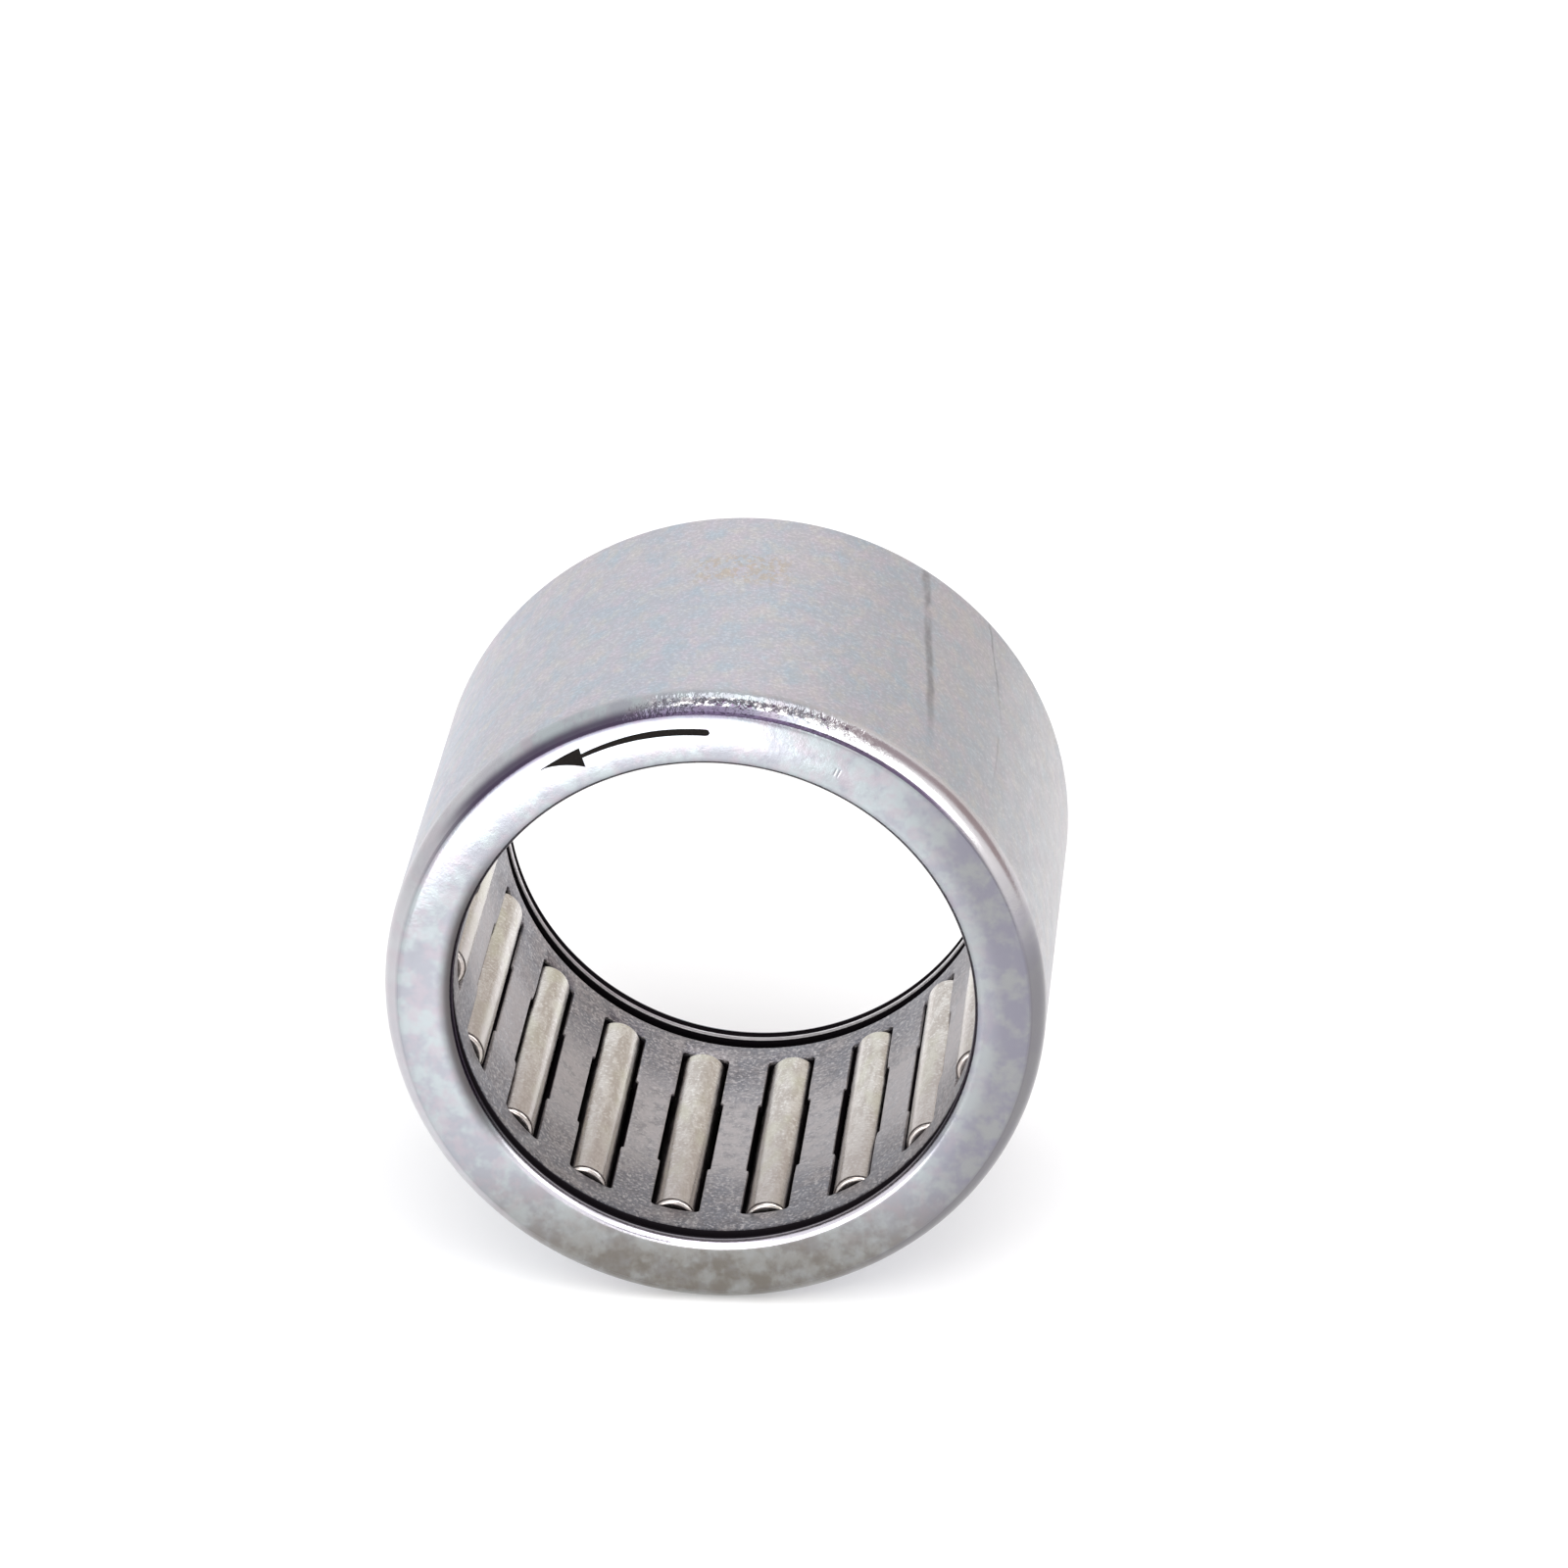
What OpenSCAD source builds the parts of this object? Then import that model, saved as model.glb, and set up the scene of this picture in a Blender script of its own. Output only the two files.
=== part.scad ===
// Needle roller bearing with a drawn steel cup that is open at both ends.
// Three kinds of piece: the cup with its two turned-in lips, the sheet steel cage,
// and the needle rollers that sit in the cage's pockets and roll inside the cup.
// The bearing's axis is Y, its middle is the origin, and the front lip looks toward -Y.

/* [Bearing] */
// Diameter of the shaft that runs in the rollers
shaft_d = 20; // [19:0.5:22]
// Width of the bearing, from face to face
width = 20; // [16:0.5:30]
// Radial play between the shaft and the rollers
shaft_play = 0.03; // [0.02:0.01:0.06]

/* [Cup] */
// Thickness of the cup's cylindrical wall
wall_t = 0.96; // [0.8:0.02:1.3]
// Thickness of the front lip, the one with the marked face
front_lip_t = 0.75; // [0.7:0.05:1.1]
// Thickness of the back lip
back_lip_t = 0.95; // [0.7:0.05:1.1]
// Radial gap between the shaft and the inner edge of each lip
lip_gap = 0.25; // [0.2:0.05:0.4]
// Outside corner radius at the front
front_corner_r = 1.1; // [0.6:0.1:1.4]
// Outside corner radius at the back
back_corner_r = 0.8; // [0.4:0.1:1.2]

/* [Rollers] */
// Diameter of a needle roller
roller_d = 2; // [1.95:0.05:2.3]
// Axial play between a roller and each end of its pocket
roller_end_play = 0.2; // [0.1:0.05:0.4]
// Corner radius at the ends of a roller
roller_corner_r = 0.25; // [0.1:0.05:0.5]

/* [Cage] */
// Thickness of the cage's sheet
cage_t = 0.38; // [0.3:0.02:0.4]
// Radial gap between the shaft and the cage
cage_gap = 0.32; // [0.28:0.02:0.36]
// Axial gap between the front lip and the cage
cage_front_play = 0.5; // [0.3:0.05:0.8]
// Axial gap between the cage and the back lip
cage_back_play = 0.7; // [0.3:0.05:0.8]
// Width of the closed ring at each end of the cage
ring_w = 1.45; // [1:0.05:1.8]
// How much narrower than a roller a pocket's end stretches are, to keep the roller from falling inward
pocket_grip = 0.04; // [0.02:0.01:0.05]
// How much wider than a roller a pocket's middle stretch is
pocket_relief = 0.18; // [0.1:0.02:0.3]
// Length of a pocket's middle stretch
pocket_middle_length = 6; // [4:0.5:7]
// How far the middle of the cage's bars is pressed outward
bar_press = 0.05; // [0.03:0.01:0.1]

/* [Hidden] */
$fn = 96;

roller_count = 18;
roller_step = 360 / roller_count;
roller_r = roller_d / 2;
pitch_r = shaft_d / 2 + shaft_play + roller_r;

race_play = 0.01;  // radial play between the rollers and the cup
race_r = pitch_r + roller_r + race_play;
cup_r = race_r + wall_t;
lip_r = shaft_d / 2 + lip_gap;
front_y = -width / 2;
back_y = width / 2;

lip_outer_round = 0.35;  // rounding of a lip's inner edge on the face
lip_inner_round = 0.3;   // rounding of a lip's inner edge toward the cage
race_fillet = 0.35;      // hollow corner between the raceway and each lip

cage_r = shaft_d / 2 + cage_gap;
cage_play = 0.08;  // radial play between the cage's flanges and the raceway
flange_r = race_r - cage_play;
cage_front_y = front_y + front_lip_t + cage_front_play;
cage_length = back_y - back_lip_t - cage_back_play - cage_front_y;
pocket_length = cage_length - 2 * ring_w;
pocket_w = roller_d - pocket_grip;
pocket_middle_w = roller_d + pocket_relief;
roller_length = pocket_length - 2 * roller_end_play;
cage_mid_y = cage_front_y + cage_length / 2;
press_slope = 1;  // axial length of the slope between pressed and plain sheet

arc_steps = 8;

// Points of a quarter arc of radius r about c, from angle a to angle a + turn
function arc(c, r, a, turn) =
    [for (i = [0 : arc_steps]) c + r * [cos(a + turn * i / arc_steps), sin(a + turn * i / arc_steps)]];

// Half section of the cup, as [radius, y]: up the outside, then back down the inside
function cup_section() = concat(
    arc([cup_r - front_corner_r, front_y + front_corner_r], front_corner_r, 270, 90),
    arc([cup_r - back_corner_r, back_y - back_corner_r], back_corner_r, 0, 90),
    arc([lip_r + lip_outer_round, back_y - lip_outer_round], lip_outer_round, 90, 90),
    arc([lip_r + lip_inner_round, back_y - back_lip_t + lip_inner_round], lip_inner_round, 180, 90),
    arc([race_r - race_fillet, back_y - back_lip_t - race_fillet], race_fillet, 90, -90),
    arc([race_r - race_fillet, front_y + front_lip_t + race_fillet], race_fillet, 0, -90),
    arc([lip_r + lip_inner_round, front_y + front_lip_t - lip_inner_round], lip_inner_round, 90, 90),
    arc([lip_r + lip_outer_round, front_y + lip_outer_round], lip_outer_round, 180, 90)
);

// Inner surface of the cage along y, from front to back, with its middle pressed outward
function cage_inner() = [
    [cage_r, cage_mid_y - cage_length / 2],
    [cage_r, cage_mid_y - pocket_middle_length / 2 - press_slope],
    [cage_r + bar_press, cage_mid_y - pocket_middle_length / 2],
    [cage_r + bar_press, cage_mid_y + pocket_middle_length / 2],
    [cage_r, cage_mid_y + pocket_middle_length / 2 + press_slope],
    [cage_r, cage_mid_y + cage_length / 2]
];

// Half section of the cage: the inner surface, then the outer one with its two end flanges
function cage_section() =
    let (
        inner = cage_inner(),
        front = inner[0][1],
        back = inner[len(inner) - 1][1],
        outer = [for (i = [len(inner) - 2 : -1 : 1]) inner[i] + [cage_t, 0]]
    )
    concat(
        inner,
        [[flange_r, back], [flange_r, back - cage_t], [cage_r + cage_t, back - cage_t]],
        outer,
        [[cage_r + cage_t, front + cage_t], [flange_r, front + cage_t], [flange_r, front]]
    );

// Half section of a roller, from its axis out to its rounded end corners
function roller_section() = concat(
    [[0, -roller_length / 2]],
    arc([roller_r - roller_corner_r, -roller_length / 2 + roller_corner_r], roller_corner_r, 270, 90),
    arc([roller_r - roller_corner_r, roller_length / 2 - roller_corner_r], roller_corner_r, 0, 90),
    [[0, roller_length / 2]]
);

// Turns a half section about the Y axis
module turned(section) {
    rotate([-90, 0, 0])
        rotate_extrude()
            polygon(section);
}

// Moves its children from the middle of the bearing to roller i's place on the pitch circle
module at_roller(i) {
    rotate([0, -roller_step * (i - 1), 0])
        translate([pitch_r, 0, 0])
            children();
}

module bearing_cup() {
    color("silver")
        turned(cup_section());
}

// The tool that punches one pocket: a slot with a wider middle
module pocket_punch() {
    depth = 2 * roller_d;
    cube([depth, pocket_length, pocket_w], center = true);
    cube([depth, pocket_middle_length, pocket_middle_w], center = true);
}

module cage() {
    color("slategray")
        difference() {
            turned(cage_section());
            for (i = [1 : roller_count])
                translate([0, cage_mid_y, 0])
                    at_roller(i)
                        pocket_punch();
        }
}

module roller(i) {
    color("gainsboro")
        translate([0, cage_mid_y, 0])
            at_roller(i)
                turned(roller_section());
}

bearing_cup();
cage();
roller(1);  // roller_01
roller(2);  // roller_02
roller(3);  // roller_03
roller(4);  // roller_04
roller(5);  // roller_05
roller(6);  // roller_06
roller(7);  // roller_07
roller(8);  // roller_08
roller(9);  // roller_09
roller(10);  // roller_10
roller(11);  // roller_11
roller(12);  // roller_12
roller(13);  // roller_13
roller(14);  // roller_14
roller(15);  // roller_15
roller(16);  // roller_16
roller(17);  // roller_17
roller(18);  // roller_18
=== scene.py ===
"""Needle roller bearing: fine meshes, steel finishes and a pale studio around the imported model.

All sections are drawn in millimetres as (radius, y) and turned about the bearing's axis, Y.
Angles around the bearing run from +X toward +Z.
"""

import math

import bmesh
import bpy
from mathutils import Matrix, Vector


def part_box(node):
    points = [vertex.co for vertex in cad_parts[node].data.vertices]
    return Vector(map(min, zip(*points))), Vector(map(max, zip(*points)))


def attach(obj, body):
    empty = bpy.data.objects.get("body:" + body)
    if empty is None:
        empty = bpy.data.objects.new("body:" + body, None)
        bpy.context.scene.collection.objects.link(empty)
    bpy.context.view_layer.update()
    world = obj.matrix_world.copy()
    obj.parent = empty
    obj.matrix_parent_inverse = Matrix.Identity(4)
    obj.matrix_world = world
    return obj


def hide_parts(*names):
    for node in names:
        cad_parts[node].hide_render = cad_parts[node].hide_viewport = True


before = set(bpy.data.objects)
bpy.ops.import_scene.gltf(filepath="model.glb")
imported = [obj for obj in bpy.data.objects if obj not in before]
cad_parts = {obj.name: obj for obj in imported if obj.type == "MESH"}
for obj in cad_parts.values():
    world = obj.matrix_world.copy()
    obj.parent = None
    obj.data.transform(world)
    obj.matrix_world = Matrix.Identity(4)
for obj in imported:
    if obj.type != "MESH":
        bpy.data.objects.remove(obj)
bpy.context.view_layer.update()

MM = 0.001


# ---------------------------------------------------------------- sizes, in millimetres

def box_mm(node):
    """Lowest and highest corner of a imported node, in millimetres."""
    low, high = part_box(node)
    return low / MM, high / MM


cup_low, cup_high = box_mm("bearing_cup")
cage_low, cage_high = box_mm("cage")
ROLLERS = sorted(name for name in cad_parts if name.startswith("roller_"))
roller_low, roller_high = box_mm(ROLLERS[0])

CUP_R = cup_high.x
FRONT_Y = cup_low.y
BACK_Y = cup_high.y
FLANGE_R = cage_high.x
CAGE_FRONT_Y = cage_low.y
CAGE_BACK_Y = cage_high.y
CAGE_MID_Y = (CAGE_FRONT_Y + CAGE_BACK_Y) / 2
ROLLER_R = (roller_high.x - roller_low.x) / 2
ROLLER_HALF = (roller_high.y - roller_low.y) / 2
SECTOR = 360 / len(ROLLERS)

TINY = 1e-6

# The cup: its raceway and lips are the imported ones, with a softer edge on each lip
RACE_R = 12.04
RACE_FILLET = 0.35
LIP_R = 10.25
LIP_EDGE = 0.42
LIP_INNER_EDGE = 0.3
FRONT_LIP = 0.75
BACK_LIP = 0.95
BACK_CORNER = 0.8

# The front face: where its crown ends and its slope there in degrees, then the radius and
# turn of its roll-off, of the step that the forming tool leaves, and of the step's foot
FACE_OUTER_R = 12.22
FACE_TILT = 4.5
ROLL_OFF = (0.9, 12)
STEP_DOWN = (0.1, 45)
STEP_FOOT = (0.08, -28)

# Marks on the cup: the crease around the face, darkened by painted shade, and two nicks on the face
CREASE_R = 12.44
SCUFF_R = 11.26
SCUFF_ANGLE = 64.5

# The cage's sheet, its pockets, and the outward press of its bars
CAGE_R = 10.32
CAGE_T = 0.38
CAGE_EDGE = 0.12
CAGE_FILLET = 0.05
RING_W = 1.45
POCKET_HALF = (CAGE_BACK_Y - CAGE_FRONT_Y) / 2 - RING_W
POCKET_HALF_W = 0.98
POCKET_MIDDLE_HALF_W = 1.09
POCKET_CORNER = 0.25
MIDDLE_HALF = 3.0
WIDTH_STEP = 0.12
PRESS_SLOPE = 1.0
BAR_PRESS = 0.05
WORN_EDGE = 0.035
SHARP_ANGLE = 35

ROLLER_CORNER = 0.2

# How finely each shape is divided
CUP_SEGMENTS = 432
ROLLER_SEGMENTS = 56
ARC_STEPS = 10
ROLLER_CORNER_STEPS = 8
CAGE_EDGE_STEPS = 6
CAGE_FILLET_STEPS = 4
POCKET_CORNER_STEPS = 6
BAR_COLUMNS = 8
SPAN_COLUMNS = 6


# ---------------------------------------------------------------- mesh building

def arc(centre, radius, start, turn, steps=ARC_STEPS):
    """Points of an arc and the outward normal at each; a negative turn is a hollow arc."""
    side = math.copysign(1, turn)
    points = []
    for i in range(steps + 1):
        angle = math.radians(start + turn * i / steps)
        across = math.cos(angle)
        along = math.sin(angle)
        point = (centre[0] + radius * across, centre[1] + radius * along)
        points.append((point, (side * across, side * along)))
    return points


def around(radius, y, angle):
    """A point of the half section turned to an angle about the bearing's axis."""
    turn = math.radians(angle)
    return Vector((radius * math.cos(turn), y, radius * math.sin(turn)))


def new_object(name, vertices, faces):
    """A smooth-shaded object from vertices in millimetres."""
    mesh = bpy.data.meshes.new(name)
    mesh.from_pydata([v * MM for v in vertices], [], faces)
    mesh.validate()
    piece = bpy.data.objects.new(name, mesh)
    bpy.context.scene.collection.objects.link(piece)
    mesh.polygons.foreach_set("use_smooth", [True] * len(mesh.polygons))
    mesh.update()
    return piece


def turned(name, outline, segments, axis_point=(0, 0)):
    """Turns an outline of (point, normal) pairs about a line parallel to Y through (x, z).

    The outline closes on itself, or starts and ends on the line.
    """
    vertices = []
    normals = []
    rows = []
    shift = Vector((axis_point[0], 0, axis_point[1]))
    for (radius, y), (across, along) in outline:
        count = 1 if radius < TINY else segments
        rows.append((len(vertices), count))
        for j in range(count):
            angle = 360 * j / segments
            vertices.append(around(radius, y, angle) + shift)
            normals.append(around(across, along, angle))

    def vertex(row, j):
        start, count = rows[row % len(rows)]
        return start + j % count

    open_ended = rows[0][1] == 1
    faces = []
    for i in range(len(rows) - (1 if open_ended else 0)):
        for j in range(segments):
            corners = [vertex(i, j), vertex(i + 1, j), vertex(i + 1, j + 1), vertex(i, j + 1)]
            faces.append(list(dict.fromkeys(corners)))
    piece = new_object(name, vertices, faces)
    piece.data.normals_split_custom_set_from_vertices(normals)
    return piece


def place(piece, body, material, nodes=()):
    """Gives a piece its finish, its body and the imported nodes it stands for."""
    piece.data.materials.append(material)
    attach(piece, body)
    if nodes:
        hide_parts(*nodes)


# ---------------------------------------------------------------- the cup

def chain(start, normal, pieces):
    """Arcs that follow each other smoothly from a point: each is a radius and a signed turn."""
    points = []
    for radius, turn in pieces:
        side = math.copysign(1, turn)
        angle = math.radians(normal)
        centre = (start[0] - side * radius * math.cos(angle),
                  start[1] - side * radius * math.sin(angle))
        stretch = arc(centre, radius, normal if turn > 0 else normal + 180, turn)
        points += stretch[1:] if points else stretch
        start = points[-1][0]
        normal += turn
    return points


def front_arcs():
    """The front of the cup from the lip's edge to the outside.

    The lip's rounded edge, the slightly crowned face, its roll-off, the small step that the
    forming tool leaves, and the corner that ends at the outside.
    """
    crown_r = (FACE_OUTER_R - LIP_R - LIP_EDGE) / (2 * math.sin(math.radians(FACE_TILT)))
    start = (LIP_R, FRONT_Y + LIP_EDGE)
    pieces = [
        (LIP_EDGE, 90 - FACE_TILT),
        (crown_r, 2 * FACE_TILT),
        ROLL_OFF,
        STEP_DOWN,
        STEP_FOOT,
    ]
    before_corner, (across, along) = chain(start, 180, pieces)[-1]
    left = math.degrees(math.atan2(-along, across))
    corner_r = (CUP_R - before_corner[0]) / (1 - math.cos(math.radians(left)))
    points = chain(start, 180, pieces + [(corner_r, left)])
    drop = FRONT_Y - min(y for (_, y), _ in points)
    return [((radius, y + drop), normal) for (radius, y), normal in points]


def cup_outline():
    """The cup's closed half section: up the outside, then back down the inside."""
    back_in = BACK_Y - BACK_LIP
    front_in = FRONT_Y + FRONT_LIP
    return (
        front_arcs()
        + arc((CUP_R - BACK_CORNER, BACK_Y - BACK_CORNER), BACK_CORNER, 0, 90)
        + arc((LIP_R + LIP_EDGE, BACK_Y - LIP_EDGE), LIP_EDGE, 90, 90)
        + arc((LIP_R + LIP_INNER_EDGE, back_in + LIP_INNER_EDGE), LIP_INNER_EDGE, 180, 90)
        + arc((RACE_R - RACE_FILLET, back_in - RACE_FILLET), RACE_FILLET, 90, -90)
        + arc((RACE_R - RACE_FILLET, front_in + RACE_FILLET), RACE_FILLET, 0, -90)
        + arc((LIP_R + LIP_INNER_EDGE, front_in - LIP_INNER_EDGE), LIP_INNER_EDGE, 90, 90)
    )


def face_y(radius):
    """Height of the crowned front face at a radius, between the points of its outline."""
    outline = [point for point, _ in front_arcs()]
    for (r0, y0), (r1, y1) in zip(outline, outline[1:]):
        if r0 <= radius < r1:
            return y0 + (y1 - y0) * (radius - r0) / (r1 - r0)
    return FRONT_Y


# ---------------------------------------------------------------- the direction arrow

# Angles about the axis in degrees; radii, half widths and depths in millimetres
ARROW_TAIL = 90.3
ARROW_BARB = 115.5
OUTER_BARB = Vector((ARROW_BARB - 0.25, 12.0))
INNER_BARB = Vector((ARROW_BARB + 0.3, 11.19))
ARROW_TIP = Vector((123.8, 11.9))
TIP_WIDTH = 0.03
BARB_BOW = 0.1
STEM_R = 11.66
STEM_BOW = 0.08
STEM_HALF = 0.135
STEM_THINNING = 0.05
ARROW_LIFT = 0.008
ARROW_DEPTH = 0.05

# Shares of the stem's length: where it starts to thin, and its rounded tail
THINNING_FROM = 0.45
TAIL_ROUNDING = 0.03
TAIL_BLUNTNESS = 0.1

STEM_STEPS = 36
STEM_SPACING = 1.3
HEAD_STEPS = 10


def stem_station(t):
    """Angle, middle radius and half width of the arrow's stem at t from tail (0) to head (1)."""
    angle = ARROW_TAIL + t * (ARROW_BARB - ARROW_TAIL)
    middle = STEM_R + STEM_BOW * math.sin(math.pi * t)
    half = STEM_HALF - STEM_THINNING * max(0, t - THINNING_FROM) / (1 - THINNING_FROM)
    if t < TAIL_ROUNDING:
        roundness = math.sqrt(1 - (1 - t / TAIL_ROUNDING) ** 2)
        half *= TAIL_BLUNTNESS + (1 - TAIL_BLUNTNESS) * roundness
    return angle, middle, half


def arrow_mark():
    """A thin inked arrow that follows the front face: a curved stem and a solid barbed head."""
    vertices = []
    faces = []

    def add(angle, radius):
        vertices.append(around(radius, face_y(radius) - ARROW_LIFT, angle))
        return len(vertices) - 1

    rows = []
    for i in range(STEM_STEPS):
        angle, middle, half = stem_station((i / STEM_STEPS) ** STEM_SPACING)
        rows.append([add(angle, middle + side * half) for side in (1, 0, -1)])
    _, middle, half = stem_station(1)
    span = OUTER_BARB.y - INNER_BARB.y
    shares = [0] + [(OUTER_BARB.y - middle - side * half) / span for side in (1, 0, -1)] + [1]
    for i in range(HEAD_STEPS + 1):
        t = i / HEAD_STEPS
        outer = OUTER_BARB.lerp(ARROW_TIP, t)
        inner = INNER_BARB.lerp(ARROW_TIP, t) + Vector((0, BARB_BOW * 4 * t * (1 - t)))
        if i == HEAD_STEPS:
            inner = ARROW_TIP - Vector((0, TIP_WIDTH))
        rows.append([add(*outer.lerp(inner, share)) for share in shares])
    for a, b in zip(rows, rows[1:]):
        if len(a) < len(b):
            b = b[1:-1]
        for j in range(len(a) - 1):
            faces.append([a[j], a[j + 1], b[j + 1], b[j]])
    piece = new_object("arrow_mark", vertices, faces)
    slab = piece.modifiers.new("ink thickness", "SOLIDIFY")
    slab.thickness = ARROW_DEPTH * MM
    slab.offset = 1
    return piece


# ---------------------------------------------------------------- the cage

def smooth(t):
    """0 below 0, 1 above 1, with a smooth rise between."""
    t = min(1, max(0, t))
    return t * t * (3 - 2 * t)


def pocket_half_width(y):
    """Half the pocket's width at a distance y from its middle."""
    step = smooth((MIDDLE_HALF + WIDTH_STEP - abs(y)) / WIDTH_STEP)
    wide = POCKET_HALF_W + step * (POCKET_MIDDLE_HALF_W - POCKET_HALF_W)
    into_corner = min(POCKET_CORNER, max(0, abs(y) - (POCKET_HALF - POCKET_CORNER)))
    return wide - POCKET_CORNER + math.sqrt(POCKET_CORNER ** 2 - into_corner ** 2)


def sheet_radius(y):
    """Radius of the cage's inner surface: its middle is pressed outward."""
    return CAGE_R + BAR_PRESS * smooth((MIDDLE_HALF + PRESS_SLOPE - abs(y)) / PRESS_SLOPE)


def between(start, end, steps):
    """Evenly spaced values after start, up to and including end."""
    return [start + (end - start) * i / steps for i in range(1, steps + 1)]


def pocket_stations():
    """Distances along a pocket from its front end to its back end, closer where it changes."""
    step_end = MIDDLE_HALF + WIDTH_STEP
    slope_end = MIDDLE_HALF + PRESS_SLOPE
    corner_start = POCKET_HALF - POCKET_CORNER
    half = [0.0]
    half += between(0, MIDDLE_HALF, 5)
    half += between(MIDDLE_HALF, step_end, 4)
    half += between(step_end, slope_end, 5)
    half += between(slope_end, corner_start, 5)
    for i in range(1, POCKET_CORNER_STEPS + 1):
        turn = math.radians(90 * i / POCKET_CORNER_STEPS)
        half.append(corner_start + POCKET_CORNER * math.sin(turn))
    return [-y for y in reversed(half[1:])] + half


def cage_rows():
    """The cage's closed half section as rows of (radius, y, half width or None, is open).

    Open rows are those inside the pockets, where only the bars are there.
    """
    stations = pocket_stations()
    end_half = pocket_half_width(POCKET_HALF)
    outer = []
    inner = []
    for y in stations:
        is_open = abs(y) < POCKET_HALF - TINY
        half = pocket_half_width(y)
        radius = sheet_radius(y)
        outer.append((radius + CAGE_T, CAGE_MID_Y + y, half, is_open))
        inner.append((radius, CAGE_MID_Y + y, half, is_open))
    inner.reverse()

    def ring(points):
        return [(point[0], point[1], end_half, False) for point, _ in points]

    fillet_r = CAGE_R + CAGE_T + CAGE_FILLET
    fillet_in = CAGE_T + CAGE_FILLET
    edge_r = CAGE_R + CAGE_EDGE
    rim = FLANGE_R
    rows = [
        (rim, CAGE_FRONT_Y, end_half, False),
        (rim, CAGE_FRONT_Y + CAGE_T, end_half, False),
    ]
    rows += ring(arc((fillet_r, CAGE_FRONT_Y + fillet_in), CAGE_FILLET, 270, -90, CAGE_FILLET_STEPS))
    rows += outer
    rows += ring(arc((fillet_r, CAGE_BACK_Y - fillet_in), CAGE_FILLET, 180, -90, CAGE_FILLET_STEPS))
    rows += [
        (rim, CAGE_BACK_Y - CAGE_T, end_half, False),
        (rim, CAGE_BACK_Y, end_half, False),
    ]
    rows += ring(arc((edge_r, CAGE_BACK_Y - CAGE_EDGE), CAGE_EDGE, 90, 90, CAGE_EDGE_STEPS))
    rows += inner
    rows += ring(arc((edge_r, CAGE_FRONT_Y + CAGE_EDGE), CAGE_EDGE, 180, 90, CAGE_EDGE_STEPS))
    return rows, rows.index(outer[0]), rows.index(inner[0]), len(stations)


def cage_mesh():
    """The cage as one closed sheet: bars between pockets, end rings and turned-out flanges."""
    rows, first_outer, first_inner, count = cage_rows()
    vertices = []
    index = {}
    for row, (radius, y, half, is_open) in enumerate(rows):
        edge = math.degrees(math.asin(half / radius))
        for sector in range(len(ROLLERS)):
            start = SECTOR * sector + edge
            for c in range(BAR_COLUMNS + 1):
                index[row, sector, c] = len(vertices)
                angle = start + (SECTOR - 2 * edge) * c / BAR_COLUMNS
                vertices.append(around(radius, y, angle))
            if is_open:
                continue
            start = SECTOR * (sector + 1) - edge
            for c in range(1, SPAN_COLUMNS):
                index[row, sector, BAR_COLUMNS + c] = len(vertices)
                vertices.append(around(radius, y, start + 2 * edge * c / SPAN_COLUMNS))

    def vertex(row, sector, c):
        if c == BAR_COLUMNS + SPAN_COLUMNS:
            return index[row, (sector + 1) % len(ROLLERS), 0]
        return index[row, sector, c]

    def partner(row):
        """The row of the inner surface under a row of the outer surface's pocket stretch."""
        return first_inner + (count - 1) - (row - first_outer)

    faces = []

    def patch(row_a, row_b, sector, columns):
        for c in columns:
            faces.append([
                vertex(row_a, sector, c),
                vertex(row_b, sector, c),
                vertex(row_b, sector, c + 1),
                vertex(row_a, sector, c + 1),
            ])

    bars = range(BAR_COLUMNS)
    spans = range(BAR_COLUMNS, BAR_COLUMNS + SPAN_COLUMNS)
    for sector in range(len(ROLLERS)):
        for row in range(len(rows)):
            after = (row + 1) % len(rows)
            patch(row, after, sector, bars)
            if not rows[row][3] and not rows[after][3]:
                patch(row, after, sector, spans)
        front_end = first_outer
        back_end = first_outer + count - 1
        patch(front_end, partner(front_end), sector, spans)
        patch(back_end, partner(back_end), sector, spans)
        for row in range(front_end, back_end):
            for c in (0, BAR_COLUMNS):
                faces.append([
                    vertex(row, sector, c),
                    vertex(row + 1, sector, c),
                    vertex(partner(row + 1), sector, c),
                    vertex(partner(row), sector, c),
                ])
    piece = new_object("cage_pressed", vertices, faces)
    tidy = bmesh.new()
    tidy.from_mesh(piece.data)
    bmesh.ops.recalc_face_normals(tidy, faces=tidy.faces)
    tidy.to_mesh(piece.data)
    tidy.free()
    edges = piece.modifiers.new("worn edges", "BEVEL")
    edges.width = WORN_EDGE * MM
    edges.segments = 2
    edges.limit_method = "ANGLE"
    edges.angle_limit = math.radians(SHARP_ANGLE)
    flats = piece.modifiers.new("even shading", "WEIGHTED_NORMAL")
    flats.keep_sharp = True
    return piece


# ---------------------------------------------------------------- the rollers

def roller_outline(middle_y):
    """From the middle of the front end, over the rounded corner and along, to the back end."""
    front = middle_y - ROLLER_HALF
    back = middle_y + ROLLER_HALF
    corner = ROLLER_R - ROLLER_CORNER
    return (
        [((0, front), (0, -1))]
        + arc((corner, front + ROLLER_CORNER), ROLLER_CORNER, 270, 90, ROLLER_CORNER_STEPS)
        + arc((corner, back - ROLLER_CORNER), ROLLER_CORNER, 0, 90, ROLLER_CORNER_STEPS)
        + [((0, back), (0, 1))]
    )


# ---------------------------------------------------------------- finishes

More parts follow.
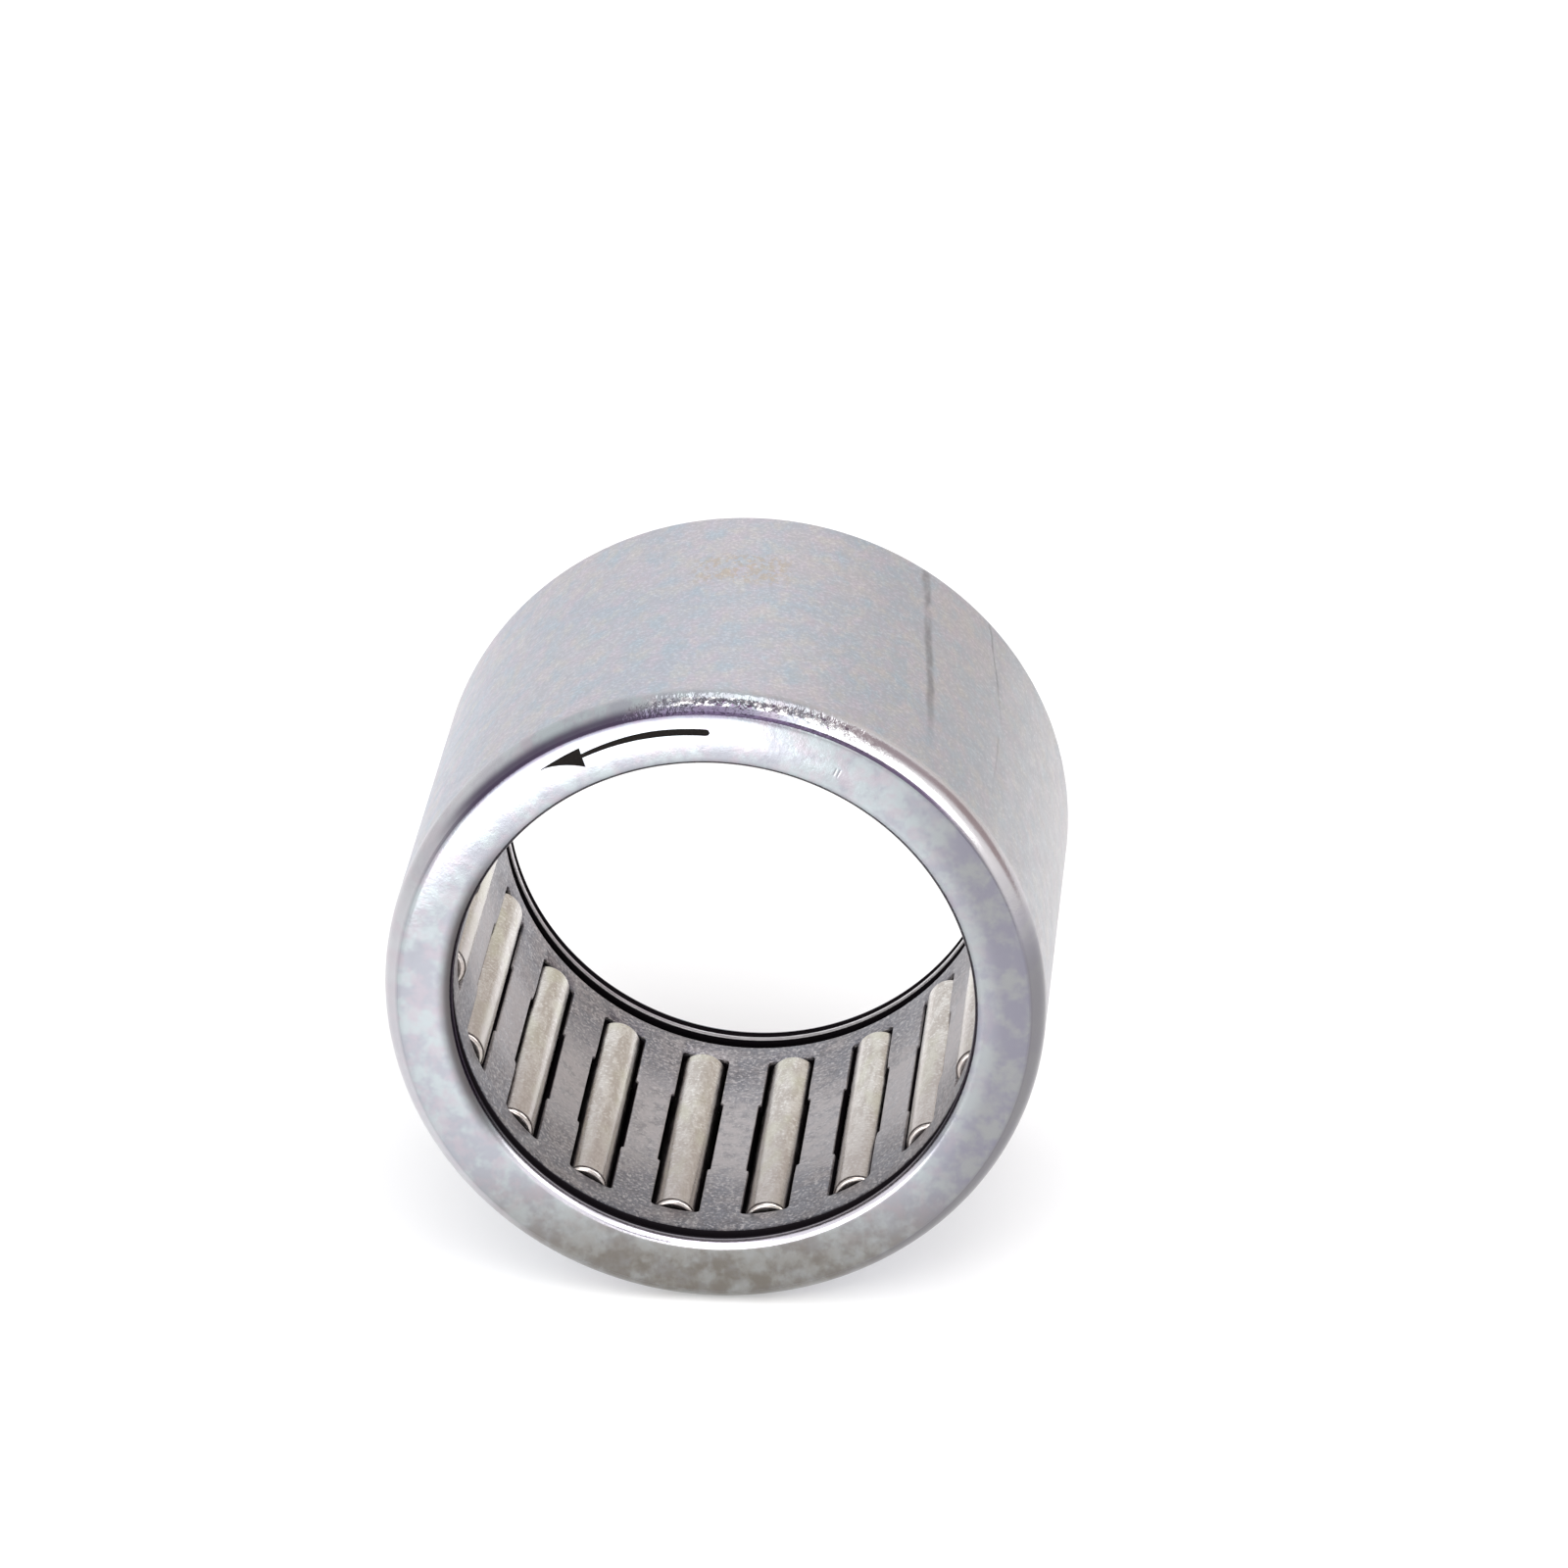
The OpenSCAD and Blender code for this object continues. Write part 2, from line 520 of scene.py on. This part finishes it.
class Finish:
    """Builds one procedural material; every method returns the socket it makes.

    Places and lengths in it are in millimetres, angles in degrees from +X toward +Z.
    """

    def __init__(self, name):
        self.material = bpy.data.materials.new(name)
        self.material.use_nodes = True
        self.tree = self.material.node_tree
        self.tree.nodes.clear()
        self.shader = self.tree.nodes.new("ShaderNodeBsdfPrincipled")
        output = self.tree.nodes.new("ShaderNodeOutputMaterial")
        self.tree.links.new(self.shader.outputs["BSDF"], output.inputs["Surface"])
        metres = self.tree.nodes.new("ShaderNodeTexCoord").outputs["Object"]
        self.spot = self.scaled(metres, [1 / MM] * 3)
        split = self.tree.nodes.new("ShaderNodeSeparateXYZ")
        self.put(split.inputs[0], self.spot)
        self.x, self.y, self.z = split.outputs
        squares = self.math("ADD", self.times(self.x, self.x), self.times(self.z, self.z))
        self.radius = self.math("SQRT", squares)
        self.angle = self.times(self.math("ARCTAN2", self.z, self.x), 180 / math.pi)

    def put(self, socket, value):
        """Links a socket to an input, or sets a constant on it."""
        if isinstance(value, bpy.types.NodeSocket):
            self.tree.links.new(value, socket)
        else:
            socket.default_value = value

    def math(self, operation, *values):
        node = self.tree.nodes.new("ShaderNodeMath")
        node.operation = operation
        for socket, value in zip(node.inputs, values):
            self.put(socket, value)
        return node.outputs[0]

    def times(self, first, *others):
        """The product of several values."""
        for other in others:
            first = self.math("MULTIPLY", first, other)
        return first

    def away(self, value, middle):
        """How far a value is from a middle value, on either side."""
        return self.math("ABSOLUTE", self.math("SUBTRACT", value, middle))

    def scaled(self, vector, scale):
        node = self.tree.nodes.new("ShaderNodeVectorMath")
        node.operation = "MULTIPLY"
        self.put(node.inputs[0], vector)
        node.inputs[1].default_value = scale
        return node.outputs[0]

    def noise(self, size, detail=3, roughness=0.5, stretch=(1, 1, 1)):
        """Soft noise with features of about this size, longer where stretch is large."""
        node = self.tree.nodes.new("ShaderNodeTexNoise")
        self.put(node.inputs["Vector"], self.scaled(self.spot, [1 / size / s for s in stretch]))
        node.inputs["Scale"].default_value = 1
        node.inputs["Detail"].default_value = detail
        node.inputs["Roughness"].default_value = roughness
        return node.outputs[0]

    def spread(self, value, low, high, to_low=0.0, to_high=1.0):
        """Moves a value from the range low..high to another, smoothly and without overshoot."""
        node = self.tree.nodes.new("ShaderNodeMapRange")
        node.interpolation_type = "SMOOTHSTEP"
        self.put(node.inputs["Value"], value)
        node.inputs["From Min"].default_value = low
        node.inputs["From Max"].default_value = high
        node.inputs["To Min"].default_value = to_low
        node.inputs["To Max"].default_value = to_high
        return node.outputs[0]

    def band(self, value, low, high, soft):
        """1 between low and high, falling to 0 over a soft stretch outside them."""
        rise = self.spread(value, low - soft, low)
        fall = self.spread(value, high, high + soft, 1, 0)
        return self.times(rise, fall)

    def blend(self, share, first, second):
        node = self.tree.nodes.new("ShaderNodeMix")
        node.data_type = "RGBA"
        self.put(node.inputs["Factor"], share)
        self.put(node.inputs["A"], first)
        self.put(node.inputs["B"], second)
        return node.outputs["Result"]

    def bump(self, height, distance):
        """Dents of height 0..1 over a depth."""
        node = self.tree.nodes.new("ShaderNodeBump")
        self.put(node.inputs["Height"], height)
        node.inputs["Distance"].default_value = distance * MM
        node.inputs["Strength"].default_value = 1
        self.tree.links.new(node.outputs[0], self.shader.inputs["Normal"])

    def steel(self, tint, black):
        """Bare steel of a tint, but painted dull black, as shade, where the mask says no light gets
        out.
        """
        self.put(self.shader.inputs["Base Color"], self.blend(black, tint, UNLIT))
        self.put(self.shader.inputs["Metallic"], self.math("SUBTRACT", 1, black))
        self.shader.inputs["Specular IOR Level"].default_value = 0


def rgb(*values):
    return (*values, 1)


UNLIT = rgb(0.010, 0.008, 0.010)

# Where the cup's finishes and its painted black shade meet: depths behind a face, and radii
FRONT_FINISH_DEPTH = 0.8
OUTSIDE_FINISH_DEPTH = 1.4
UNLIT_DEPTH = 0.7
UNLIT_INNER_R = 10.9
UNLIT_OUTER_R = 12.2
LAND_OUTER_R = 10.7

# Depths behind the back face of its lip's inner edge: a stretch of painted black shade with a painted
# highlight line in it
BACK_LAND_DEEP = 1.05
BACK_LAND_SHALLOW = 0.4
GLINT_DEPTH = 0.83


def scratch(f, start_angle, slope, half_width, front, back):
    """Mask of a long thin scratch on the outside that runs from front to back at a slant.

    Its angle is start_angle at the front face and grows by slope degrees a millimetre.
    """
    along = f.math("SUBTRACT", f.y, FRONT_Y)
    line = f.math("ADD", start_angle, f.times(along, slope))
    wobble = f.times(f.math("SUBTRACT", f.noise(1.8, 3, 0.6), 0.5), 1.4)
    off = f.math("ABSOLUTE", f.math("SUBTRACT", f.math("ADD", f.angle, wobble), line))
    across = f.spread(off, 0.4 * half_width, 2 * half_width, 1, 0)
    length = f.times(f.spread(along, front - 1, front + 5), f.spread(along, back - 1, back + 1, 1, 0))
    patchy = f.spread(f.noise(0.7, 3, 0.7, (1, 3, 1)), 0.3, 0.55, 0.35, 1)
    return f.times(across, length, patchy)


def outside_tint(f, cool, warm, grain):
    """The cup's outside: grey with soft pastel clouds, fine grain, a patch of golden flecks, and
    painted shade darkening its right side.
    """
    broad = f.noise(4, 2, 0.5, (1, 1.5, 1))
    pale = f.noise(0.7, 3, 0.6, (1, 1.8, 1))
    tint = f.blend(f.spread(broad, 0.38, 0.62), rgb(0.49, 0.51, 0.58), rgb(0.57, 0.54, 0.575))
    tint = f.blend(f.band(f.y, -5, 1, 5), tint, f.blend(0.3, tint, rgb(0.45, 0.54, 0.64)))
    tint = f.blend(f.spread(cool, 0.42, 0.68, 0, 0.7), tint, rgb(0.43, 0.54, 0.63))
    tint = f.blend(f.spread(warm, 0.42, 0.68, 0, 0.7), tint, rgb(0.60, 0.53, 0.61))
    tint = f.blend(f.spread(pale, 0.46, 0.7, 0, 0.5), tint, rgb(0.64, 0.61, 0.56))
    # Painted shade: the outside darkens toward its right.
    painted_shade_right = f.spread(f.x, 7, 12.5, 0, 0.5)
    tint = f.blend(painted_shade_right, tint, rgb(0.40, 0.385, 0.355))
    fleck_patch = f.times(f.band(f.angle, 84, 96, 5), f.band(f.y, 2.8, 4.8, 1))
    flecks = f.spread(f.noise(0.3, 3, 0.75, (1, 1.8, 1)), 0.48, 0.56, 0, 0.55)
    tint = f.blend(f.times(fleck_patch, flecks), tint, rgb(0.52, 0.40, 0.26))
    tint = f.blend(f.spread(grain, 0.42, 0.6, 0.4, 0), tint, rgb(0.38, 0.38, 0.41))
    return f.blend(f.spread(grain, 0.56, 0.66, 0, 0.4), tint, rgb(0.72, 0.72, 0.74))


def face_tint(f, cool, warm):
    """The front face: cool grey with clouds, darker and brownish at the bottom from stain and painted
    shade, and darker on its right from painted shade.
    """
    clouds = f.spread(cool, 0.4, 0.62)
    tint = f.blend(clouds, rgb(0.36, 0.37, 0.41), rgb(0.42, 0.46, 0.48))
    tint = f.blend(f.spread(warm, 0.45, 0.65, 0, 0.6), tint, rgb(0.44, 0.39, 0.43))
    # Painted shade: the face darkens toward its right.
    right = f.blend(clouds, rgb(0.23, 0.225, 0.27), rgb(0.28, 0.285, 0.29))
    on_right = f.times(f.spread(f.x, 6.5, 10.5, 0, 0.95), f.spread(f.radius, 10.7, 11.5, 0.6, 1))
    tint = f.blend(on_right, tint, right)
    # Stain and painted shade: brownish blotches darken the bottom of the face.
    stain_and_painted_shade = f.blend(clouds, rgb(0.19, 0.175, 0.155), rgb(0.27, 0.265, 0.25))
    low = f.times(f.spread(f.z, -11.5, -6.5, 1, 0), f.spread(warm, 0.3, 0.6, 0.75, 1))
    return f.blend(low, tint, stain_and_painted_shade)


def lip_edge_tint(f, tint):
    """The lip's rounded edge: a painted highlight at the bottom, painted shade on its left, and a
    painted dark line around the rest.
    """
    # Painted highlight: the edge is bright along the bottom.
    low = f.spread(f.z, -7.5, -5.5, 1, 0)
    bright = f.times(low, f.spread(f.radius, 10.5, 10.6, 1, 0))
    tint = f.blend(bright, tint, rgb(0.72, 0.69, 0.76))
    # Painted shade: the edge darkens on its left.
    shaded = f.times(f.spread(f.x, -10, -7, 1, 0), f.spread(f.z, -7, -5),
                     f.spread(f.radius, 10.4, 10.95, 0.92, 0))
    tint = f.blend(shaded, tint, rgb(0.09, 0.08, 0.08))
    # Painted shade: a dark line along the edge, away from the bottom.
    line = f.times(f.spread(f.z, -7, -3, 0, 0.9), f.spread(f.radius, 10.31, 10.36, 1, 0))
    return f.blend(line, tint, rgb(0.06, 0.04, 0.08))


def corner_tint(f, tint):
    """The outside corner of the face: painted light on its left and upper right, painted shade on its
    lower right, a crease darkened by painted shade at the top, and wrinkles over it with painted
    glints.
    """
    outer = f.spread(f.radius, 12.38, 12.5)
    # Painted light: the corner is lighter on its left.
    tint = f.blend(f.times(outer, f.spread(f.x, -10, -6, 0.5, 0)), tint, rgb(0.60, 0.57, 0.60))
    # Painted light: the corner is lighter on its upper right.
    lit = f.times(outer, f.spread(f.x, 3, 6, 0, 0.9), f.spread(f.z, 2, 7))
    tint = f.blend(lit, tint, rgb(0.70, 0.67, 0.69))
    # Painted shade: the corner is darker on its lower right.
    dim = f.times(outer, f.spread(f.x, 4, 8, 0, 0.85), f.spread(f.z, 1, 5, 1, 0))
    tint = f.blend(dim, tint, rgb(0.20, 0.195, 0.205))
    # Painted shade: the crease and the corner just outside it turn dark over the top.
    line = f.band(f.away(f.radius, CREASE_R), 0, 0.05, 0.03)
    line = f.times(line, f.spread(f.away(f.angle, 93), 42, 66, 0.92, 0.1))
    shade = f.times(f.band(f.angle, 86, 135, 18), f.band(f.radius, 12.42, 12.58, 0.3), 0.85)
    tint = f.blend(f.math("MAXIMUM", line, shade), tint, rgb(0.045, 0.025, 0.065))
    # Painted highlights and shade: white glints and dark specks on the wrinkled crest at the top.
    spots = f.noise(0.28, 2, 0.6, (1, 1.3, 1))
    crest = f.times(f.band(f.angle, 66, 95, 8), f.band(f.radius, 12.7, 12.86, 0.05), 0.8)
    tint = f.blend(f.times(crest, f.spread(spots, 0.40, 0.34)), tint, rgb(0.16, 0.10, 0.18))
    return f.blend(f.times(crest, f.spread(spots, 0.52, 0.57)), tint, rgb(0.97, 0.97, 0.97))


def scuff(f):
    """Two short slanting nicks side by side on the face."""
    across = f.away(f.away(f.angle, SCUFF_ANGLE), 0.4)
    along = f.away(f.radius, SCUFF_R)
    return f.times(f.spread(across, 0.08, 0.3, 0.55, 0), f.spread(along, 0.1, 0.2, 1, 0))


def cup_steel():
    """Satin drawn steel: pastel bloom, fine turning grain, polished front and long scratches, with
    painted light and shade in places.
    """
    f = Finish("cup_steel")
    cool = f.noise(1.0, 4, 0.6, (1, 1.8, 1))
    warm = f.noise(0.8, 4, 0.6, (1, 1.8, 1))
    grain = f.noise(0.16, 3, 0.7)
    front = f.spread(f.y, FRONT_Y + FRONT_FINISH_DEPTH, FRONT_Y + OUTSIDE_FINISH_DEPTH, 1, 0)
    front_tint = corner_tint(f, lip_edge_tint(f, face_tint(f, cool, warm)))
    tint = f.blend(front, outside_tint(f, cool, warm, grain), front_tint)

    first = f.times(scratch(f, 49.15, 0.41, 0.6, 3.5, 19.5), 0.6)
    second = f.times(scratch(f, 26.0, 0.83, 0.22, 10.5, 19.5), 0.5)
    third = f.times(scratch(f, 35.2, 0.05, 0.2, 4, 10), 0.3)
    scratches = f.math("MAXIMUM", f.math("MAXIMUM", first, second), third)
    scratches = f.times(scratches, f.spread(f.radius, 12.6, 12.9))
    scratches = f.math("MAXIMUM", scratches, f.times(scuff(f), front))
    tint = f.blend(scratches, tint, rgb(0.17, 0.165, 0.18))

    # Painted shade: dull black in the raceway and on the lip lands, front and back, where the inside
    # is dark.
    raceway = f.times(f.band(f.radius, UNLIT_INNER_R, UNLIT_OUTER_R, 0.2),
                      f.band(f.y, FRONT_Y + UNLIT_DEPTH, BACK_Y - UNLIT_DEPTH, 0.15))
    land = f.spread(f.radius, LAND_OUTER_R, UNLIT_INNER_R, 1, 0)
    front_half = f.spread(f.y, 0, 1, 1, 0)
    front_land = f.times(land, f.spread(f.y, FRONT_Y + 0.3, FRONT_Y + 0.42), front_half)
    from_glint = f.away(f.y, BACK_Y - GLINT_DEPTH)
    back_edge = f.band(f.y, BACK_Y - BACK_LAND_DEEP, BACK_Y - BACK_LAND_SHALLOW, 0.05)
    back_land = f.times(land, back_edge, f.spread(from_glint, 0.04, 0.07))
    # Painted highlight: a bright line on the back lip's inner edge.
    glint = f.times(land, f.spread(from_glint, 0.06, 0.10, 1, 0))
    tint = f.blend(glint, tint, rgb(0.97, 0.95, 0.97))
    black = f.math("MAXIMUM", raceway, front_land)
    f.steel(tint, f.math("MAXIMUM", black, back_land))

    rough = f.spread(f.noise(0.7, 3, 0.6), 0.3, 0.7, 0.30, 0.40)
    rough = f.math("ADD", rough, f.times(grain, 0.08))
    f.put(f.shader.inputs["Roughness"], f.times(rough, f.spread(front, 0, 1, 1, 0.5)))

    turning = f.noise(0.1, 2, 0.5, (12, 1, 12))
    corner = f.times(f.spread(f.radius, 12.3, 12.5), front)
    wrinkled = f.times(corner, f.band(f.angle, 68, 96, 16))
    wrinkle = f.times(wrinkled, f.noise(0.2, 2, 0.6, (1, 3, 1)))
    turned_part = f.math("SUBTRACT", 1, front)
    height = f.math("ADD", f.times(grain, 0.6), f.times(turning, turned_part, 0.5))
    height = f.math("SUBTRACT", height, f.times(scratches, 1.5))
    height = f.math("ADD", height, f.times(wrinkle, 7))
    f.bump(height, 0.008)
    return f.material


def cage_steel():
    """Matt sheet steel, speckled and mottled, painted black as shade inside the pockets and on the
    flanges.
    """
    f = Finish("cage_steel")
    broad = f.noise(2.2, 2, 0.5, (1, 1.5, 1))
    mottle = f.noise(0.7, 4, 0.7)
    speckle = f.noise(0.14, 2, 0.6)
    tint = f.blend(f.spread(mottle, 0.4, 0.6), rgb(0.17, 0.165, 0.185), rgb(0.37, 0.345, 0.355))
    tint = f.blend(f.spread(broad, 0.4, 0.6, 0, 0.6), tint, rgb(0.23, 0.235, 0.27))
    tint = f.blend(f.spread(speckle, 0.52, 0.66, 0, 0.7), tint, rgb(0.62, 0.59, 0.60))
    tint = f.blend(f.spread(speckle, 0.34, 0.46, 0.5, 0), tint, rgb(0.12, 0.11, 0.12))
    from_middle = f.away(f.y, CAGE_MID_Y)
    # Lighter towards the middle of the cage's length.
    lighter_middle = f.times(f.spread(from_middle, 1.5, 6, 1, 0), f.spread(mottle, 0.32, 0.62, 0.3, 0.85))
    tint = f.blend(lighter_middle, tint, rgb(0.54, 0.51, 0.52))
    # Painted shade: black on the pocket walls and outer side of the sheet, and on the flanges' ends.
    deep_r = CAGE_R + BAR_PRESS + 0.04
    half_length = (CAGE_BACK_Y - CAGE_FRONT_Y) / 2
    f.steel(tint, f.math("MAXIMUM", f.spread(f.radius, deep_r, deep_r + 0.06),
                         f.spread(from_middle, half_length - 0.08, half_length - 0.03)))
    f.put(f.shader.inputs["Roughness"], f.spread(mottle, 0.4, 0.6, 0.35, 0.5))
    f.bump(f.math("ADD", speckle, f.times(mottle, 1.5)), 0.018)
    return f.material


def roller_steel():
    """Ground steel filmed with oil: faint clouds drawn out along it, flecks, grinding lines, and
    painted shade darkening it toward the front.
    """
    f = Finish("roller_steel")
    lines = f.noise(0.06, 2, 0.6, (12, 1, 12))
    cloud = f.noise(0.5, 4, 0.7, (1, 4, 1))
    fleck = f.noise(0.15, 3, 0.65)
    tint = f.blend(f.spread(cloud, 0.4, 0.6), rgb(0.50, 0.455, 0.42), rgb(0.68, 0.65, 0.62))
    tint = f.blend(f.spread(fleck, 0.54, 0.66, 0, 0.7), tint, rgb(0.88, 0.87, 0.85))
    tint = f.blend(f.spread(fleck, 0.36, 0.46, 0.35, 0), tint, rgb(0.38, 0.34, 0.31))
    film = f.noise(1.1, 2, 0.5, (1, 2.5, 1))
    tint = f.blend(f.spread(film, 0.48, 0.66, 0, 0.45), tint, rgb(0.60, 0.60, 0.47))
    # Painted shade: darker toward the front end.
    tint = f.blend(f.spread(f.y, -7, 3, 0.55, 0), tint, rgb(0.36, 0.31, 0.30))
    f.put(f.shader.inputs["Base Color"], tint)
    f.shader.inputs["Metallic"].default_value = 1
    f.put(f.shader.inputs["Roughness"], f.spread(cloud, 0.3, 0.7, 0.18, 0.26))
    f.bump(f.math("ADD", lines, fleck), 0.003)
    return f.material


def mark_ink():
    """Burnt-in black mark, slightly uneven."""
    f = Finish("mark_ink")
    fleck = f.noise(0.08, 3, 0.7)
    tint = f.blend(f.spread(fleck, 0.35, 0.75), rgb(0.004, 0.003, 0.003), rgb(0.016, 0.013, 0.011))
    f.put(f.shader.inputs["Base Color"], tint)
    f.put(f.shader.inputs["Roughness"], f.spread(fleck, 0.3, 0.7, 0.6, 0.85))
    f.shader.inputs["Specular IOR Level"].default_value = 0.1
    f.bump(fleck, 0.004)
    return f.material


# ---------------------------------------------------------------- the object

steel = cup_steel()
place(turned("cup_drawn", cup_outline(), CUP_SEGMENTS), "bearing_cup", steel,
      ["bearing_cup"])
place(arrow_mark(), "bearing_cup", mark_ink())
place(cage_mesh(), "cage", cage_steel(), ["cage"])
ground = roller_steel()
for node in ROLLERS:
    low, high = box_mm(node)
    centre = (low + high) / 2
    needle = turned("needle_" + node[-2:], roller_outline(centre.y), ROLLER_SEGMENTS,
                    (centre.x, centre.z))
    place(needle, node, ground, [node])


# ---------------------------------------------------------------- studio

FLOOR_Z = -CUP_R
FLOOR_HALF = 2000


def floor_finish():
    """Near-white matt paper with a very soft mottle, glowing a little so shadows stay soft."""
    f = Finish("paper")
    cloud = f.noise(40, 2, 0.5)
    f.put(f.shader.inputs["Base Color"],
          f.blend(cloud, rgb(0.71, 0.71, 0.71), rgb(0.73, 0.73, 0.73)))
    f.shader.inputs["Emission Color"].default_value = rgb(1, 1, 1)
    f.shader.inputs["Emission Strength"].default_value = 0.3
    f.put(f.shader.inputs["Roughness"], f.spread(cloud, 0.3, 0.7, 0.85, 0.95))
    return f.material


def make_floor():
    mesh = bpy.data.meshes.new("floor")
    corners = []
    for x, y in ((-1, -1), (1, -1), (1, 1), (-1, 1)):
        corners.append(Vector((x * FLOOR_HALF, y * FLOOR_HALF, FLOOR_Z)) * MM)
    mesh.from_pydata(corners, [], [(0, 1, 2, 3)])
    floor = bpy.data.objects.new("floor", mesh)
    bpy.context.scene.collection.objects.link(floor)
    mesh.materials.append(floor_finish())


def direction(azimuth, elevation):
    """Unit vector toward a compass place: azimuth 0 is the front (-Y), 90 the right (+X)."""
    a = math.radians(azimuth)
    e = math.radians(elevation)
    return Vector((math.sin(a) * math.cos(e), -math.cos(a) * math.cos(e), math.sin(e)))


# Soft patches of the studio around the bearing: azimuth, elevation, full to half width in
# degrees, and colour
PATCHES = (
    (0, 86, 14, 26, (0.35, 0.30, 0.34)),
    (116, 18, 13, 22, (0.44, 0.36, 0.36)),
    (120, 48, 13, 24, (0.46, 0.39, 0.41)),
    (160, 8, 10, 30, (0.84, 0.80, 0.75)),
    (8, 30, 6, 12, (0.05, 0.03, 0.08)),
)
AMBIENT = (1.0, 1.0, 1.0)


def make_world():
    world = bpy.data.worlds.new("studio")
    bpy.context.scene.world = world
    world.use_nodes = True
    tree = world.node_tree
    tree.nodes.clear()
    look = tree.nodes.new("ShaderNodeTexCoord").outputs["Generated"]
    colour = None
    for azimuth, elevation, inner, outer, tint in PATCHES:
        dot = tree.nodes.new("ShaderNodeVectorMath")
        dot.operation = "DOT_PRODUCT"
        tree.links.new(look, dot.inputs[0])
        dot.inputs[1].default_value = direction(azimuth, elevation)
        mask = tree.nodes.new("ShaderNodeMapRange")
        mask.interpolation_type = "SMOOTHSTEP"
        tree.links.new(dot.outputs["Value"], mask.inputs["Value"])
        mask.inputs["From Min"].default_value = math.cos(math.radians(outer))
        mask.inputs["From Max"].default_value = math.cos(math.radians(inner))
        mix = tree.nodes.new("ShaderNodeMix")
        mix.data_type = "RGBA"
        tree.links.new(mask.outputs["Result"], mix.inputs["Factor"])
        if colour is None:
            mix.inputs["A"].default_value = rgb(*AMBIENT)
        else:
            tree.links.new(colour, mix.inputs["A"])
        mix.inputs["B"].default_value = rgb(*tint)
        colour = mix.outputs["Result"]
    background = tree.nodes.new("ShaderNodeBackground")
    tree.links.new(colour, background.inputs["Color"])
    output = tree.nodes.new("ShaderNodeOutputWorld")
    tree.links.new(background.outputs[0], output.inputs["Surface"])


def area_light(name, azimuth, elevation, distance, size, watts):
    """A square soft light that looks at the middle of the bearing; lengths in millimetres."""
    data = bpy.data.lights.new(name, "AREA")
    data.size = size * MM
    data.energy = watts
    light = bpy.data.objects.new(name, data)
    bpy.context.scene.collection.objects.link(light)
    toward = direction(azimuth, elevation)
    light.location = toward * distance * MM
    light.rotation_euler = toward.to_track_quat("Z", "Y").to_euler()
    light.visible_camera = False


# Angles in degrees, places and the lens in millimetres
CAMERA_AZIMUTH = 4.63
CAMERA_ELEVATION = 23.32
CAMERA_AIM = Vector((2.0, 0, 5.3))
CAMERA_DISTANCE = 307.4
CAMERA_LENS = 176.7
SENSOR_WIDTH = 36
CLIP_START = 10


def make_camera():
    data = bpy.data.cameras.new("camera")
    data.sensor_width = SENSOR_WIDTH
    data.lens = CAMERA_LENS
    data.clip_start = CLIP_START * MM
    camera = bpy.data.objects.new("camera", data)
    bpy.context.scene.collection.objects.link(camera)
    toward = direction(CAMERA_AZIMUTH, CAMERA_ELEVATION)
    right = Vector((0, 0, 1)).cross(toward).normalized()
    up = toward.cross(right)
    turn = Matrix((right, up, toward)).transposed().to_4x4()
    turn.translation = (CAMERA_AIM + toward * CAMERA_DISTANCE) * MM
    camera.matrix_world = turn
    bpy.context.scene.camera = camera


# Lights: name, azimuth, elevation, distance, size and power
LIGHTS = (
    ("key", 170, 62, 350, 160, 0.12),
    ("softbox_top", 8, 57, 300, 230, 0.42),
    ("softbox_right", 58, 32, 300, 140, 0.16),
    ("front_card", -15, 5, 46, 24, 0.0051),
)

make_floor()
make_world()
for light in LIGHTS:
    area_light(*light)
make_camera()
bpy.context.scene.view_settings.view_transform = "Standard"
